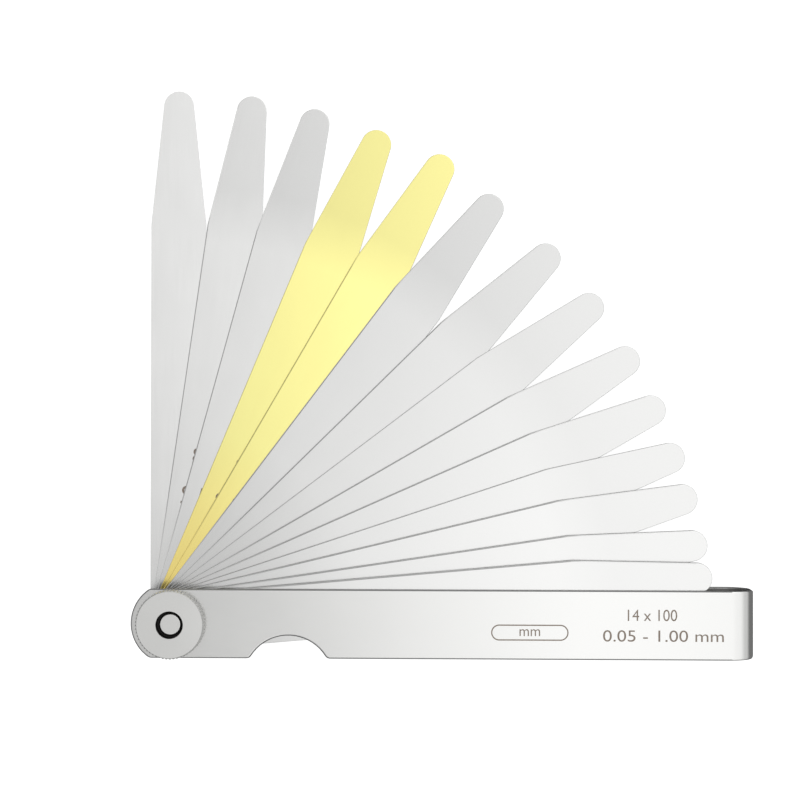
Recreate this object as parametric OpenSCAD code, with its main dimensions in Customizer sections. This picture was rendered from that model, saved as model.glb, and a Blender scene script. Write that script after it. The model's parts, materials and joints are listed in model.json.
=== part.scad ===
// Feeler gauge: fourteen tapered blades fanned out of a folded sheet-steel case.
// It lies on its back. +X runs from the pivot to the folded end of the case, +Y towards the open
// fan, and +Z up through the stack. The origin is on the pivot axis, on the face it rests on.
// All sizes are in millimetres.

/* [Case] */
// Width of the sheet strip that the case is folded from
case_w = 12.1; // [11.6:0.1:12.6]
// Distance from the pivot axis to the outside of the folded end
case_reach = 102.3; // [101:0.1:112]
// Thickness of the case sheet
sheet_t = 0.8; // [0.6:0.1:1.2]
// Radius of the rounded ends about the pivot
case_end_r = 7.2; // [6.4:0.1:7.6]
// Radius of the four corners at the folded end
case_corner_r = 0.7; // [0.4:0.1:1.5]

/* [Finger notch] */
// Distance from the pivot axis to the middle of the notch
notch_x = 20.5; // [19:0.5:60]
// Radius of the notch
notch_r = 7.7; // [6.5:0.1:9]
// Depth of the notch from the lower edge
notch_depth = 4; // [3:0.1:4.5]
// Radius that rounds the two corners of the notch
notch_corner_r = 1; // [0.5:0.1:1.5]

/* [Blades] */
// Width of a blade
blade_w = 9.9; // [9:0.1:10.4]
// Distance from the pivot axis to a blade's tip
blade_reach = 95; // [90:0.5:96]
// Distance from the pivot axis to where the taper begins
taper_start = 71; // [55:0.5:76]
// Radius of a blade's rounded tip
tip_r = 2.7; // [2:0.1:3.5]
// How much longer the second brass blade is than the others
brass_extra = 1.1; // [0:0.1:1.2]
// Space between two neighbouring blades, as an oil film leaves it
blade_gap = 0.02; // [0.02:0.01:0.03]
// How far the fan is open, from all blades folded in to the full fan
fan_open = 1; // [0:0.05:1]

/* [Pivot screw and lock nut] */
// Diameter of the screw's shank
shank_d = 4; // [3:0.5:4]
// Diameter of the screw's head
head_d = 11; // [9:0.5:12]
// Height of the screw's head
head_h = 1; // [0.8:0.1:1.5]
// Diameter of the lock nut
nut_d = 12; // [11:0.5:14]
// Height of the lock nut above the case
nut_h = 2.5; // [2.2:0.1:3.5]
// Diameter of the mouth in the nut
nut_mouth_d = 4.8; // [4.6:0.1:5.4]
// Depth of the mouth, which the thread begins below
nut_mouth_depth = 1.9; // [1.7:0.1:2]
// Depth from the nut's face down to the screw's end
screw_recess = 1.1; // [0.6:0.1:1.4]
// Number of ribs in the nut's straight knurl
knurl_count = 60; // [36:6:90]

/* [Hidden] */
// Thickness of each blade, from the back of the stack to the front
blade_t = [0.05, 0.10, 0.15, 0.20, 0.25, 0.30, 0.40, 0.50, 0.60, 0.70, 0.75, 0.80, 0.90, 1.00];
// Angle from the case at which each blade stands in the full fan, in the same order
blade_deg = [90.1, 81.9, 74.7, 67.4, 59.9, 52.9, 44.5, 37.2, 30.1, 24.0, 18.4, 13.7, 8.6, 5.1];
// The blades that are brass, counted from 0 at the back of the stack
brass_blades = [3, 4];
long_blade = brass_blades[1];
blade_count = len(blade_t);

steel = [0.80, 0.80, 0.79];
case_steel = [0.76, 0.76, 0.75];
brass = [0.93, 0.87, 0.52];

run_gap = 0.05;    // radial clearance of what turns
seat_gap = 0.01;   // radial clearance of what is staked or seated
edge_break = 0.25; // chamfer of the turned pieces
thread_end = 0.25; // chamfer of the screw's end
tip_bite = 0.005;  // how far the taper ends inside the tip circle
neck_d = shank_d + 1;
boss_d = shank_d + 2;
knurl_depth = 0.18;

stack_t = stack_below(blade_count);
case_h = stack_t + 2 * sheet_t;
inner_z = head_h + sheet_t;
top_leg_z = inner_z + stack_t;
case_top = top_leg_z + sheet_t;
bend_r = case_h / 2;
bend_x = case_reach - bend_r;
bend_z = head_h + bend_r;
nut_top = case_top + nut_h;
screw_top = nut_top - screw_recess;
past = 1;          // how far a cutter runs past what it cuts

$fn = 96;

function two_digits(n) = n < 10 ? str("0", n) : str(n);
function blade_name(i) =
    let (hundredths = round(blade_t[i] * 100))
    str("blade_", floor(hundredths / 100), two_digits(hundredths % 100));
function is_brass(i) = len([for (b = brass_blades) if (b == i) b]) > 0;
// Height of the stack from the back leg's inner face up to the back of blade i
function stack_below(i) = i == 0 ? blade_gap : stack_below(i - 1) + blade_t[i - 1] + blade_gap;
// Point where the line from a corner meets the circle at a blade's tip, a hair inside its tangent
// point, so that line and circle cross cleanly
function tip_touch(corner, tip_x) =
    let (
        dx = corner[0] - tip_x,
        away = norm([dx, corner[1]]),
        turn = atan2(corner[1], dx) - acos(tip_r / away),
        r = tip_r - tip_bite
    )
    [tip_x + r * cos(turn), r * sin(turn)];

// The case from above: rounded about the pivot, with rounded corners at the folded end.
module case_outline() {
    half = case_w / 2;
    intersection() {
        circle(case_end_r);
        translate([-case_end_r - past, -half]) square([case_end_r + past, case_w]);
    }
    translate([0, -half]) square([case_reach - case_corner_r, case_w]);
    translate([0, case_corner_r - half]) square([case_reach, case_w - 2 * case_corner_r]);
    for (side = [-1, 1])
        translate([case_reach - case_corner_r, side * (half - case_corner_r)]) circle(case_corner_r);
}

// The finger notch, an arc whose two corners are rounded into the lower edge.
module notch_outline() {
    edge_y = -case_w / 2;
    centre_y = edge_y + notch_depth - notch_r;
    corner_y = edge_y + notch_corner_r;
    corner_x = sqrt(pow(notch_r + notch_corner_r, 2) - pow(corner_y - centre_y, 2));
    translate([notch_x, 0]) {
        translate([0, centre_y]) circle(notch_r);
        for (side = [-1, 1])
            difference() {
                polygon([[0, centre_y], [side * corner_x, corner_y], [side * corner_x, edge_y - past]]);
                translate([side * corner_x, corner_y]) circle(notch_corner_r);
            }
    }
}

// The strip from its edge: two legs and the fold that joins them.
module hairpin_profile() {
    difference() {
        union() {
            translate([-case_end_r - past, head_h]) square([bend_x + case_end_r + past, case_h]);
            translate([bend_x, bend_z]) circle(bend_r);
        }
        translate([-case_end_r - 2 * past, inner_z]) square([bend_x + case_end_r + 2 * past, stack_t]);
        translate([bend_x, bend_z]) circle(bend_r - sheet_t);
    }
}

module holder() {
    color(case_steel) difference() {
        intersection() {
            translate([0, case_w / 2 + past, 0]) rotate([90, 0, 0])
                linear_extrude(case_w + 2 * past) hairpin_profile();
            linear_extrude(nut_top) difference() {
                case_outline();
                notch_outline();
            }
        }
        translate([0, 0, head_h - past]) cylinder(h = sheet_t + 2 * past, d = neck_d + 2 * seat_gap);
        translate([0, 0, top_leg_z - past]) cylinder(h = sheet_t + 2 * past, d = boss_d + 2 * run_gap);
    }
}

// A stud with a flat round head, staked in the back leg by its neck.
module pivot_screw() {
    color(steel) rotate_extrude() polygon([
        [0, 0],
        [head_d / 2 - edge_break, 0],
        [head_d / 2, edge_break],
        [head_d / 2, head_h],
        [neck_d / 2, head_h],
        [neck_d / 2, inner_z],
        [shank_d / 2, inner_z],
        [shank_d / 2, screw_top - thread_end],
        [shank_d / 2 - thread_end, screw_top],
        [0, screw_top]
    ]);
}

// Knurled disc with a boss that turns in the top leg. The mouth leaves the screw's end in sight.
module lock_nut() {
    color(steel) difference() {
        union() {
            intersection() {
                translate([0, 0, case_top]) linear_extrude(nut_h) knurl_outline();
                rotate_extrude() polygon([
                    [0, case_top],
                    [nut_d / 2 - edge_break, case_top],
                    [nut_d / 2, case_top + edge_break],
                    [nut_d / 2, nut_top - edge_break],
                    [nut_d / 2 - edge_break, nut_top],
                    [0, nut_top]
                ]);
            }
            translate([0, 0, top_leg_z + run_gap]) cylinder(h = sheet_t, d = boss_d);
        }
        translate([0, 0, inner_z]) cylinder(h = nut_top, d = shank_d + 2 * run_gap);
        translate([0, 0, nut_top - nut_mouth_depth]) cylinder(h = nut_h, d = nut_mouth_d);
    }
}

module knurl_outline() {
    polygon([
        for (rib = [0:knurl_count - 1], edge = [0:3])
            let (
                r = nut_d / 2 - (edge < 2 ? 0 : knurl_depth),
                turn = (rib + [0, 0.35, 0.55, 0.8][edge]) * 360 / knurl_count
            )
            r * [cos(turn), sin(turn)]
    ]);
}

module blade_outline(extra) {
    half = blade_w / 2;
    taper_x = taper_start + extra;
    tip_x = blade_reach + extra - tip_r;
    upper = tip_touch([taper_x, half], tip_x);
    intersection() {
        circle(half);
        translate([-half - past, -half]) square([half + past, blade_w]);
    }
    polygon([
        [0, -half], [taper_x, -half], [upper[0], -upper[1]],
        upper, [taper_x, half], [0, half]
    ]);
    translate([tip_x, 0]) circle(tip_r);
}

module blade(i) {
    color(is_brass(i) ? brass : steel)
        translate([0, 0, inner_z + stack_below(i)]) rotate([0, 0, blade_deg[i] * fan_open])
            linear_extrude(blade_t[i]) difference() {
                blade_outline(i == long_blade ? brass_extra : 0);
                circle(d = shank_d + 2 * run_gap);
            }
}

holder();
pivot_screw();
lock_nut();
for (i = [0:blade_count - 1])
    blade(i);
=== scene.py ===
"""Looks of the feeler gauge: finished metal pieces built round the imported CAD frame.

Every size comes from the frame or is a named value in metres. The gauge lies on its back: +X runs
along the case, +Y towards the open fan and +Z up to the lock nut.
"""

import json
import math

import bmesh
import bpy
from mathutils import Matrix, Vector


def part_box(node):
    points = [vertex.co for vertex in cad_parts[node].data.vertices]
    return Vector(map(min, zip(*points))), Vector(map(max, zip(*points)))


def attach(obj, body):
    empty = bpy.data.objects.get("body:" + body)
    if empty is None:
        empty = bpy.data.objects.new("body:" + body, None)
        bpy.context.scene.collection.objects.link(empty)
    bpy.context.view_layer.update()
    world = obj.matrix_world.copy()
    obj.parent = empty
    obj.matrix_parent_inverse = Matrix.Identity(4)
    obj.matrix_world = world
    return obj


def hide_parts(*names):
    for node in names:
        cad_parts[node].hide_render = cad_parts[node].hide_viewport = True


MM = 0.001

# Camera, at the photograph's viewing angle
CAMERA_LENS = 77.1
CAMERA_DISTANCE = 300 * MM
CAMERA_AIM = (40.0 * MM, 39.26 * MM)
CAMERA_YAW, CAMERA_PITCH, CAMERA_ROLL = (math.radians(a) for a in (-1.14, -0.79, -0.13))

# Studio light: a sky that is dim towards -X, with a broad soft box from the middle towards +X.
# Directions are given as the components of a unit vector.
SKY_DIM = 0.632
SKY_BRIGHT = 1.377
BOX_EDGE = (-0.25, 0.12)      # X between which the soft box fades in
BOX_FALL = 0.55               # how fast it dims beyond that
SKY_LEAN = 0.29               # brighter towards +Y
SKY_RIM = 0.65                # brighter away from straight overhead
SKY_LEAST = 0.30
LOW_SKY = 0.55                # share of its brightness that the sky keeps low down
LOW_BAND = (0.20, 0.72)       # Z that this change is spread over
GROUND_GLOW = 0.21            # what the metal sees below the horizon
HORIZON_BAND = (-0.30, 0.12)  # Z that the change is spread over

# Floor, white under its own faint glow
FLOOR_HALF = 3.0
FLOOR_TONE = (0.35, 0.35, 0.35, 1)
FLOOR_GLOW = 0.9

# Edges
EDGE_ANGLE = math.radians(30)
FLAT_ANGLE = math.radians(0.3)
SMOOTH_ANGLE = math.radians(21)
WELD = 0.001 * MM
CASE_EDGE = 0.34 * MM
TURNED_EDGE = 0.05 * MM
BLADE_EDGE = 0.07 * MM
BLADE_EDGE_SHARE = 0.32       # of a blade's thickness, which limits its edge
EDGE_STEPS = 5
SHADE_BAND = 0.15 * MM       # painted shade: a dark band along a blade's edge on its open side, in place of the shadow line where blades overlap
NARROW_BAND = 0.05 * MM
BAND_SHADE = 0.42
NARROW_BLADES = ("blade_020", "blade_050", "blade_075")
NO_BAND_BELOW = 0.08 * MM     # thickness of blade
BAND_END = 88 * MM            # short of the round tip

# Grain of the satin finish, as the size of its noise on each axis
FINE_GRAIN = (9 * MM, 0.07 * MM, 0.07 * MM)
CASE_GRAIN = (4 * MM, 0.10 * MM, 0.10 * MM)
RING_GRAIN = (0.09 * MM, 1, 1)
CLOUDS = (14 * MM, 9 * MM, 9 * MM)
SPECKS = (0.25 * MM, 0.25 * MM, 0.25 * MM)
GRAIN_SHADE = 0.025
GRAIN_ROUGH = 0.05

# What tells the pieces' faces apart
SHANK_RADIUS = 2.0 * MM
MOUTH_RADIUS = 2.4 * MM
NUT_CHAMFER = 0.25 * MM
RADIUS_SLACK = 0.1 * MM

# Markings, etched so shallow that they stand as a skin on the metal
MARK_SINK = 0.010 * MM
MARK_RISE = 0.005 * MM
BLADE_MARK_START = 16.6 * MM
BLADE_MARK_WIDTH = 14.2 * MM
BLADE_MARK_HEIGHT = 3.2 * MM
BLADE_MARK_BASE = -2.2 * MM
BLADE_MARK_RAISED = {
    "blade_010": 1.6 * MM, "blade_015": 1.2 * MM,
    "blade_020": 1.2 * MM, "blade_025": 1.2 * MM,
}
CASE_MARK_HEIGHT = 2.0 * MM
CAPSULE_LINE = 0.22 * MM
CAPSULE_STEPS = 24

# Tone of each steel blade a third of the way out, where its taper begins, and at its tip
# Painted light: the blades are one steel; these tones paint how brightly each blade is lit at its own angle, and
# the darker tips are painted shade
BLADE_TONE = {
    "blade_005": (0.890, 0.900, 0.870), "blade_010": (0.845, 0.840, 0.727),
    "blade_015": (0.820, 0.773, 0.648), "blade_030": (0.745, 0.676, 0.583),
    "blade_040": (0.740, 0.680, 0.606), "blade_050": (0.731, 0.690, 0.634),
    "blade_060": (0.731, 0.703, 0.656), "blade_070": (0.740, 0.713, 0.668),
    "blade_075": (0.750, 0.722, 0.676), "blade_080": (0.768, 0.740, 0.684),
    "blade_090": (0.760, 0.740, 0.702), "blade_100": (0.768, 0.745, 0.702),
}
PAINTED_ROOT_SHADE = 0.85             # painted shade: the blades are darker round the pivot

# Distances from the pivot at which a blade has its root, near, body and tip tones, and its painted shade band its
# root tone, the start and end of its shaded stretch, and the tip tone
BLADE_TONES_AT = (5 * MM, 34 * MM, 68 * MM, 78 * MM)
SHADE_BAND_TONES_AT = (7 * MM, 24 * MM, 70 * MM, 73 * MM)

BLADE_ROUGHNESS = 0.20
SHADE_BAND_ROUGHNESS = 0.35
CASE_ROUGHNESS = 0.18
TURNED_ROUGHNESS = 0.22
CASE_TONES = ((-7, 0.670), (27, 0.706), (40, 0.733), (72, 0.750), (98, 0.715))  # at mm along the case; painted light: darker towards the left end and the fold, brightest near 72 mm
SCREW_TONE = (0.72, 0.72, 0.705)
NUT_TONE = (0.74, 0.74, 0.725)
# Partly painted shade: the knurl is rough metal, and its dark tone also paints the shade beside the nut
KNURL_TONE = (0.50, 0.50, 0.49)
# painted shade in the nut's mouth and on the screw's shank
BORE_TONE = (0.035, 0.034, 0.033)
# Cut sides are rougher metal, and their dark tones also paint the shade lines along the pieces' edges
SHEARED_TONE = (0.30, 0.30, 0.30)
CASE_SIDE_TONE = (0.23, 0.23, 0.23)
# painted shade inside the case's strip
INSIDE_TONE = (0.26, 0.26, 0.255)
# the brass blades' cut sides: rougher metal, and painted shade lines along their edges
BRASS_SIDE_TONE = (0.50, 0.42, 0.14)
# Painted shade: the brass blades are darker at the root and at the tip than in the body
BRASS_ROOT = (0.95, 0.76, 0.25)
BRASS_BODY = (1.0, 0.935, 0.365)
BRASS_TIP = (0.815, 0.76, 0.302)
MARK_DARK = (0.16, 0.125, 0.10)
MARK_LIGHT = (0.27, 0.225, 0.185)

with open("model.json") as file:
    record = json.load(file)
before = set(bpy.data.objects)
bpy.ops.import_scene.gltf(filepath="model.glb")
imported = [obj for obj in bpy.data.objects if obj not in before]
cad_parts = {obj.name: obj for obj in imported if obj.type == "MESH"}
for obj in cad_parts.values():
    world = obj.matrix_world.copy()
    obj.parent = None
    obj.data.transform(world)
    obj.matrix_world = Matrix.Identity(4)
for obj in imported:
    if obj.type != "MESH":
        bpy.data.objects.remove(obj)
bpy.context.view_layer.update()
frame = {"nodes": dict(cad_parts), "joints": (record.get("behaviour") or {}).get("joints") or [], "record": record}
open_angle = {j["child"]: -math.radians(j["range_deg"][0]) for j in frame["joints"]}
body_of = {n: body for body, nodes in frame["record"]["behaviour"]["bodies"].items() for n in nodes}
case_low, case_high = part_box("holder")
nut_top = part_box("lock_nut")[1].z
case_middle = (case_low.z + case_high.z) / 2
FOLD_START = case_high.x - (case_high.z - case_low.z) / 2


# ---------------------------------------------------------------- materials


def new_material(name):
    """A material with only its Principled shader and output."""
    material = bpy.data.materials.new(name)
    material.use_nodes = True
    tree = material.node_tree
    return material, tree, tree.nodes["Principled BSDF"]


def add(tree, kind, inputs=None, **settings):
    """A shader node. An input is given as a value or as the socket that feeds it."""
    node = tree.nodes.new("ShaderNode" + kind)
    for name, value in settings.items():
        setattr(node, name, value)
    for key, value in (inputs or {}).items():
        if isinstance(value, bpy.types.NodeSocket):
            tree.links.new(value, node.inputs[key])
        else:
            node.inputs[key].default_value = value
    return node


def noise(tree, place, size, detail=2.0):
    """Noise from 0 to 1 whose grain is size metres, one size for each axis, or turned with place."""
    scaled = add(tree, "VectorMath", {0: place, 1: size}, operation="DIVIDE").outputs["Vector"]
    return add(tree, "TexNoise", {"Vector": scaled, "Scale": 1.0, "Detail": detail}).outputs["Fac"]


def spread(tree, factor, low, high):
    """Maps the middle of a noise to a range of values."""
    limits = {"Value": factor, "From Min": 0.3, "From Max": 0.7, "To Min": low, "To Max": high}
    return add(tree, "MapRange", limits).outputs["Result"]


def tinted(tree, factor, colour, change):
    """A colour that the factor makes up to change darker or lighter."""
    dark, light = ((*(c * (1 + sign * change) for c in colour), 1) for sign in (-1, 1))
    mix = add(tree, "Mix", data_type="RGBA")
    tree.links.new(factor, mix.inputs["Factor"])
    mix.inputs["A"].default_value = dark
    mix.inputs["B"].default_value = light
    return mix.outputs["Result"]


def local(tree, angle):
    """Position on the piece with x along a blade that stands at that angle."""
    place = add(tree, "TexCoord").outputs["Object"]
    turned = add(tree, "Mapping", {"Vector": place, "Rotation": (0, 0, angle)}, vector_type="TEXTURE")
    return turned.outputs["Vector"]


def ramp_along(tree, distance, stops):
    """The colour at a distance, between stops of (distance, colour)."""
    first, last = stops[0][0], stops[-1][0]
    share = add(tree, "MapRange", {"Value": distance, "From Min": first, "From Max": last}).outputs["Result"]
    ramp = add(tree, "ValToRGB", {"Fac": share})
    points = ramp.color_ramp.elements
    points[0].color = (*stops[0][1], 1)
    points[1].color = (*stops[-1][1], 1)
    for place, colour in stops[1:-1]:
        points.new((place - first) / (last - first)).color = (*colour, 1)
    return ramp.outputs["Color"]


def satin(name, stops, roughness, angle=0.0, grain=FINE_GRAIN, rings=False):
    """Satin metal with a fine grain along the angle, or in rings round the pivot, and faint clouds.

    stops gives the colour at distances along the piece, or from the pivot where there are rings.
    """
    material, tree, shader = new_material(name)
    place = local(tree, angle)
    if rings:
        flat = add(tree, "VectorMath", {0: place, 1: (1, 1, 0)}, operation="MULTIPLY").outputs["Vector"]
        along = add(tree, "VectorMath", {0: flat}, operation="LENGTH").outputs["Value"]
        lines = noise(tree, add(tree, "CombineXYZ", {"X": along}).outputs["Vector"], RING_GRAIN, 3.0)
    else:
        along = add(tree, "SeparateXYZ", {"Vector": place}).outputs["X"]
        lines = noise(tree, place, grain, 3.0)
    clouds = noise(tree, place, CLOUDS, 3.0)
    specks = noise(tree, place, SPECKS, 1.0)
    uneven = add(tree, "Mix", {"Factor": 0.45, "A": lines, "B": clouds}).outputs["Result"]
    shade = spread(tree, uneven, 1 - GRAIN_SHADE, 1 + GRAIN_SHADE)
    colour = {0: ramp_along(tree, along, stops), "Scale": shade}
    colour = add(tree, "VectorMath", colour, operation="SCALE").outputs["Vector"]
    tree.links.new(colour, shader.inputs["Base Color"])
    shader.inputs["Metallic"].default_value = 1.0
    rough = spread(tree, uneven, roughness - GRAIN_ROUGH, roughness + GRAIN_ROUGH)
    tree.links.new(rough, shader.inputs["Roughness"])
    relief = add(tree, "Mix", {"Factor": 0.4, "A": lines, "B": specks}).outputs["Result"]
    bump = add(tree, "Bump", {"Strength": 0.25, "Distance": 0.004 * MM, "Height": relief})
    tree.links.new(bump.outputs["Normal"], shader.inputs["Normal"])
    return material


def plain(colour):
    """Stops for a colour that is the same all along."""
    return [(0, colour), (1, colour)]


def sheared(name, tone):
    """A darker, rougher metal scored through its thickness: cut sides, and painted shade where its tone is set
    dark.
    """
    material, tree, shader = new_material(name)
    place = local(tree, 0.0)
    scores = noise(tree, place, (0.12 * MM, 0.12 * MM, 1.5 * MM), 2.0)
    tree.links.new(tinted(tree, scores, tone, 0.25), shader.inputs["Base Color"])
    tree.links.new(spread(tree, scores, 0.42, 0.60), shader.inputs["Roughness"])
    shader.inputs["Metallic"].default_value = 1.0
    bump = add(tree, "Bump", {"Strength": 0.4, "Distance": 0.01 * MM, "Height": scores})
    tree.links.new(bump.outputs["Normal"], shader.inputs["Normal"])
    return material


def etched():
    """The brown-grey of a laser etching, uneven where the beam bit less."""
    material, tree, shader = new_material("etched_mark")
    bite = noise(tree, local(tree, 0.0), (0.3 * MM, 0.3 * MM, 0.3 * MM), 3.0)
    mix = add(tree, "Mix", data_type="RGBA")
    tree.links.new(spread(tree, bite, 0.0, 1.0), mix.inputs["Factor"])
    mix.inputs["A"].default_value = (*MARK_DARK, 1)
    mix.inputs["B"].default_value = (*MARK_LIGHT, 1)
    tree.links.new(mix.outputs["Result"], shader.inputs["Base Color"])
    tree.links.new(spread(tree, bite, 0.5, 0.7), shader.inputs["Roughness"])
    bump = add(tree, "Bump", {"Strength": 0.3, "Distance": 0.01 * MM, "Height": bite})
    tree.links.new(bump.outputs["Normal"], shader.inputs["Normal"])
    return material


# ---------------------------------------------------------------- pieces


def place_piece(name, mesh, body):
    piece = bpy.data.objects.new(name, mesh)
    bpy.context.scene.collection.objects.link(piece)
    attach(piece, body)
    return piece


def mark_sharp(mesh, angle):
    """Smooth shading, except over edges that turn more than the angle."""
    shape = bmesh.new()
    shape.from_mesh(mesh)
    for face in shape.faces:
        face.smooth = True
    for edge in shape.edges:
        edge.smooth = edge.calc_face_angle(0.0) < angle
    shape.to_mesh(mesh)
    shape.free()


def finished(node, name, edge, materials, sort_face, angle=0.0, band=0.0):
    """A finished piece from a CAD node: one face per flat, rounded edges, each face's own material.

    A blade gets a band of painted shade, its third material, along the edge on its open side.
    """
    mesh = frame["nodes"][node].data.copy()
    draft = bpy.data.objects.new("draft_" + name, mesh)
    bpy.context.scene.collection.objects.link(draft)
    weld = draft.modifiers.new("weld", "WELD")
    weld.merge_threshold = WELD
    flats = draft.modifiers.new("flats", "DECIMATE")
    flats.decimate_type = "DISSOLVE"
    flats.angle_limit = FLAT_ANGLE
    bevel = draft.modifiers.new("edges", "BEVEL")
    bevel.limit_method = "ANGLE"
    bevel.angle_limit = EDGE_ANGLE
    bevel.width = edge
    bevel.segments = EDGE_STEPS
    bpy.context.view_layer.update()
    done = bpy.data.meshes.new_from_object(draft.evaluated_get(bpy.context.evaluated_depsgraph_get()))
    bpy.data.objects.remove(draft)
    done.name = name
    done.materials.clear()
    for material in materials:
        done.materials.append(material)
    for face in done.polygons:
        face.material_index = sort_face(face)
    if band:
        add_band(done, angle, band)
    mark_sharp(done, SMOOTH_ANGLE)
    piece = place_piece(name, done, body_of[node])
    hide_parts(node)
    normals = piece.modifiers.new("normals", "WEIGHTED_NORMAL")
    normals.keep_sharp = True
    return piece


def add_band(mesh, angle, width):
    """Insets a blade's two faces and gives the inset along the edge on its open side the third material, a band of
    painted shade.
    """
    shape = bmesh.new()
    shape.from_mesh(mesh)
    along = Vector((math.cos(angle), math.sin(angle), 0))
    open_side = Vector((-math.sin(angle), math.cos(angle), 0))
    flats = [f for f in shape.faces if abs(f.normal.z) > 0.999]
    ring = bmesh.ops.inset_region(shape, faces=flats, thickness=width, use_even_offset=True)["faces"]
    for face in ring:
        middle = face.calc_center_median()
        if 0 < middle.dot(along) < BAND_END and middle.dot(open_side) > 4 * width:
            face.material_index = 2
    shape.to_mesh(mesh)
    shape.free()


def sort_blade(face):
    return 1 if abs(face.normal.z) < 0.9 else 0


def sort_case(face):
    """The strip's inside is painted dark as shade, and its cut edges and most of their rounding are sheared."""
    inward = Vector((min(face.center.x, FOLD_START) - face.center.x, 0, case_middle - face.center.z))
    if inward.normalized().dot(face.normal) > 0.7:
        return 2
    folded = face.center.x > FOLD_START and abs(face.normal.y) < 0.5
    return 1 if abs(face.normal.z) < 0.95 and not folded else 0


def sort_screw(face):
    """The shank is painted dark as shade."""
    on_shank = Vector(face.center.xy).length < SHANK_RADIUS + RADIUS_SLACK
    return 1 if on_shank and abs(face.normal.z) < 0.5 else 0


def sort_nut(face):
    """The knurl is rough and painted darker as shade beside the nut, and the mouth and what lies in it is painted
    dark as shade.
    """
    if face.center.z < nut_top - NUT_CHAMFER and Vector(face.center.xy).length < MOUTH_RADIUS + RADIUS_SLACK:
        return 1
    return 2 if abs(face.normal.z) < 0.8 else 0


def lettering(text, width, height):
    """Extruded letters centred on the origin, as wide as given, with digits as tall as given."""
    curve = bpy.data.curves.new("lettering", "FONT")
    curve.body = text
    curve.extrude = 0.5
    letters = bpy.data.objects.new("lettering", curve)
    mesh = bpy.data.meshes.new_from_object(letters)
    bpy.data.objects.remove(letters)
    shape = bmesh.new()
    shape.from_mesh(mesh)
    bmesh.ops.remove_doubles(shape, verts=shape.verts, dist=1e-5)
    low, high = (Vector([pick(v.co[i] for v in shape.verts) for i in range(3)]) for pick in (min, max))
    bmesh.ops.translate(shape, vec=-(low + high) / 2, verts=shape.verts)
    size = (width / (high.x - low.x), height / (high.y - low.y), MARK_SINK + MARK_RISE)
    bmesh.ops.scale(shape, vec=size, verts=shape.verts)
    shape.to_mesh(mesh)
    shape.free()
    return mesh


def capsule(width, height):
    """A thin raised line round a capsule, centred on the origin."""
    shape = bmesh.new()
    rings = []
    for inset in (0.0, CAPSULE_LINE):
        radius = height / 2 - inset
        reach = (width - height) / 2
        points = []
        for step in range(2 * CAPSULE_STEPS + 2):
            end = 1 if step <= CAPSULE_STEPS else -1
            turn = (step - (0 if end > 0 else 1)) * math.pi / CAPSULE_STEPS - math.pi / 2
            points.append((end * reach + radius * math.cos(turn), radius * math.sin(turn)))
        for z in (-0.5, 0.5):
            thick = z * (MARK_SINK + MARK_RISE)
            rings.append([shape.verts.new((x, y, thick)) for x, y in points])
    outer_low, outer_high, inner_low, inner_high = rings
    loop = [outer_low, outer_high, inner_high, inner_low]
    count = len(outer_low)
    for first, second in zip(loop, loop[1:] + loop[:1]):
        for i in range(count):
            j = (i + 1) % count
            shape.faces.new((first[i], first[j], second[j], second[i]))
    bmesh.ops.recalc_face_normals(shape, faces=shape.faces)
    mesh = bpy.data.meshes.new("capsule")
    shape.to_mesh(mesh)
    shape.free()
    return mesh


def mark(name, mesh, body, centre, top, angle=0.0):
    """Lays a marking on a face at height top, turned with the blade that it is on."""
    middle = top + (MARK_RISE - MARK_SINK) / 2
    mesh.transform(Matrix.Rotation(angle, 4, "Z") @ Matrix.Translation((*centre, middle)))
    mesh.materials.clear()
    mesh.materials.append(mark_material)
    place_piece(name, mesh, body)


# ---------------------------------------------------------------- studio


def make_camera():
    """Looks down on the fan from straight in front of it, turned a little off the vertical."""
    turn = (
        Matrix.Rotation(CAMERA_ROLL, 3, "Z")
        @ Matrix.Rotation(CAMERA_PITCH, 3, "X")
        @ Matrix.Rotation(CAMERA_YAW, 3, "Y")
    ).transposed()
    aim = Vector((*CAMERA_AIM, case_high.z))
    data = bpy.data.cameras.new("camera")
    data.lens = CAMERA_LENS
    data.sensor_width = 36
    data.clip_start = 10 * MM
    data.clip_end = 10
    camera = bpy.data.objects.new("camera", data)
    camera.matrix_world = Matrix.Translation(aim + turn @ Vector((0, 0, CAMERA_DISTANCE))) @ turn.to_4x4()
    bpy.context.scene.collection.objects.link(camera)
    bpy.context.scene.camera = camera


def make_floor():
    """A plain white floor. It takes the gauge's shadow but the metal doesn't mirror it."""
    half = FLOOR_HALF
    corners = [(-half, -half, 0), (half, -half, 0), (half, half, 0), (-half, half, 0)]
    mesh = bpy.data.meshes.new("floor")
    mesh.from_pydata(corners, [], [(0, 1, 2, 3)])
    floor = bpy.data.objects.new("floor", mesh)
    material, tree, shader = new_material("floor")
    shader.inputs["Base Color"].default_value = FLOOR_TONE
    shader.inputs["Roughness"].default_value = 0.9
    shader.inputs["Specular IOR Level"].default_value = 0.0
    shader.inputs["Emission Color"].default_value = (1, 1, 1, 1)
    shader.inputs["Emission Strength"].default_value = FLOOR_GLOW
    mesh.materials.append(material)
    floor.visible_glossy = False
    bpy.context.scene.collection.objects.link(floor)


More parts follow.
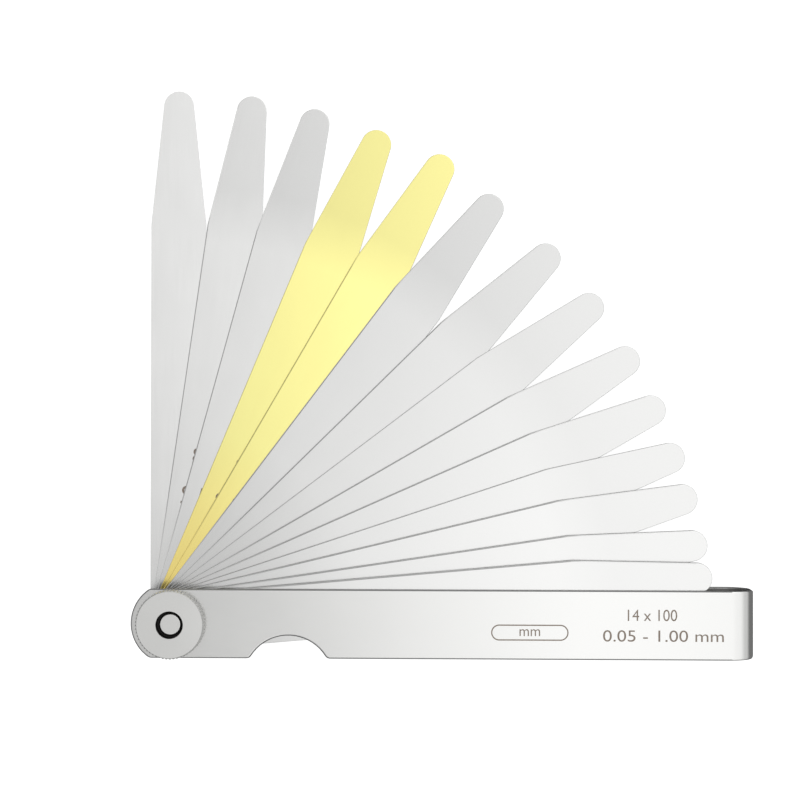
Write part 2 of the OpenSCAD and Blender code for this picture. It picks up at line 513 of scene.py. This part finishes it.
def make_light():
    """A soft white sky, brighter towards the far right, dimmer low down and faint below the horizon."""
    world = bpy.data.worlds.new("studio")
    world.use_nodes = True
    tree = world.node_tree
    direction = add(tree, "SeparateXYZ", {"Vector": add(tree, "TexCoord").outputs["Generated"]}).outputs
    fade = {"Value": direction["X"], "From Min": BOX_EDGE[0], "From Max": BOX_EDGE[1]}
    fade.update({"To Min": SKY_DIM, "To Max": SKY_BRIGHT})
    sky = add(tree, "MapRange", fade, interpolation_type="SMOOTHSTEP").outputs["Result"]
    past = add(tree, "Math", {0: direction["X"], 1: BOX_EDGE[1]}, operation="SUBTRACT").outputs["Value"]
    past = add(tree, "Math", {0: past, 1: 0.0}, operation="MAXIMUM").outputs["Value"]
    low = add(tree, "Math", {0: 1.0, 1: direction["Z"]}, operation="SUBTRACT").outputs["Value"]
    for amount, rate in ((past, -BOX_FALL), (direction["Y"], SKY_LEAN), (low, SKY_RIM)):
        sky = add(tree, "Math", {0: amount, 1: rate, 2: sky}, operation="MULTIPLY_ADD").outputs["Value"]
    sky = add(tree, "Math", {0: sky, 1: SKY_LEAST}, operation="MAXIMUM").outputs["Value"]
    lower = {"Value": direction["Z"], "From Min": LOW_BAND[0], "From Max": LOW_BAND[1], "To Min": LOW_SKY}
    kept = add(tree, "MapRange", lower, interpolation_type="SMOOTHSTEP").outputs["Result"]
    sky = add(tree, "Math", {0: sky, 1: kept}, operation="MULTIPLY").outputs["Value"]
    band = {"Value": direction["Z"], "From Min": HORIZON_BAND[0], "From Max": HORIZON_BAND[1]}
    above = add(tree, "MapRange", band, interpolation_type="SMOOTHSTEP").outputs["Result"]
    glow = add(tree, "Mix", {"Factor": above, "A": GROUND_GLOW, "B": sky}).outputs["Result"]
    seen = add(tree, "LightPath").outputs["Is Camera Ray"]
    backdrop = add(tree, "Mix", {"Factor": seen, "A": glow, "B": 1.0}).outputs["Result"]
    tree.links.new(backdrop, tree.nodes["Background"].inputs["Strength"])
    tree.nodes["Background"].inputs["Color"].default_value = (1, 1, 1, 1)
    bpy.context.scene.world = world
    bpy.context.scene.view_settings.view_transform = "Standard"


# ---------------------------------------------------------------- build

make_camera()
make_floor()
make_light()

mark_material = etched()
steel_side = sheared("sheared_steel", SHEARED_TONE)
brass_side = sheared("sheared_brass", BRASS_SIDE_TONE)
bore = sheared("shade_painted_bore", BORE_TONE)

# painted light along the case
case_painted_light_stops = [(x * MM, (t, t, t * 0.985)) for x, t in CASE_TONES]
case_face = satin("case_satin", case_painted_light_stops, CASE_ROUGHNESS, grain=CASE_GRAIN)
case_side = sheared("sheared_case", CASE_SIDE_TONE)
inside = sheared("shade_painted_inside", INSIDE_TONE)
finished("holder", "case", CASE_EDGE, (case_face, case_side, inside), sort_case)

screw_face = satin("screw_turned", plain(SCREW_TONE), TURNED_ROUGHNESS, rings=True)
finished("pivot_screw", "screw", TURNED_EDGE, (screw_face, bore), sort_screw)

nut_face = satin("nut_turned", plain(NUT_TONE), TURNED_ROUGHNESS, rings=True)
knurl = sheared("nut_knurl", KNURL_TONE)
finished("lock_nut", "nut", TURNED_EDGE, (nut_face, bore, knurl), sort_nut)

for node in sorted(n for n in frame["nodes"] if n.startswith("blade_")):
    low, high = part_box(node)
    thickness = high.z - low.z
    angle = open_angle[body_of[node]]
    reach = math.hypot(*(max(low[i], high[i], key=abs) for i in (0, 1)))
    if node in BLADE_TONE:
        slot, side = "blade_steel", steel_side
        # painted light: each steel blade's own lit tone
        near, body, tip = ((t, t, t * 0.99) for t in BLADE_TONE[node])
        # painted shade round the pivot
        root = tuple(c * PAINTED_ROOT_SHADE for c in near)
    else:
        slot, side = "blade_brass", brass_side
        root, near, body, tip = BRASS_ROOT, BRASS_BODY, BRASS_BODY, BRASS_TIP
    stops = [*zip(BLADE_TONES_AT, (root, near, body, tip)), (reach, tip)]
    face = satin(node + "_satin", stops, BLADE_ROUGHNESS, angle)
    # painted shade along the blade's open edge
    edge_shade_tone = tuple(c * BAND_SHADE for c in body)
    edge_shade_stops = [*zip(SHADE_BAND_TONES_AT, (root, edge_shade_tone, edge_shade_tone, tip)), (reach, tip)]
    edge_shade = satin(node + "_ground", edge_shade_stops, SHADE_BAND_ROUGHNESS, angle)
    edge = min(BLADE_EDGE, BLADE_EDGE_SHARE * thickness)
    band = NARROW_BAND if node in NARROW_BLADES else SHADE_BAND
    band = 0 if thickness < NO_BAND_BELOW else band
    finished(node, node + "_leaf", edge, (face, side, edge_shade), sort_blade, angle, band)
    base = BLADE_MARK_BASE + BLADE_MARK_RAISED.get(node, 0)
    centre = (BLADE_MARK_START + BLADE_MARK_WIDTH / 2, base + BLADE_MARK_HEIGHT / 2)
    letters = lettering(f"{thickness / MM:.2f}mm", BLADE_MARK_WIDTH, BLADE_MARK_HEIGHT)
    mark(node + "_number", letters, body_of[node], centre, high.z, angle)

case_marks = (
    ("case_set_mark", lettering("14 x 100", 8.6 * MM, CASE_MARK_HEIGHT), (84.1 * MM, 1.8 * MM)),
    ("case_range_mark", lettering("0.05 - 1.00 mm", 21 * MM, CASE_MARK_HEIGHT), (86.0 * MM, -1.8 * MM)),
    ("case_capsule", capsule(13.5 * MM, 2.8 * MM), (62.75 * MM, -1.3 * MM)),
    ("case_unit_mark", lettering("mm", 3.6 * MM, 1.2 * MM), (62.75 * MM, -1.3 * MM)),
)
for name, mesh, centre in case_marks:
    mark(name, mesh, "case", centre, case_high.z)
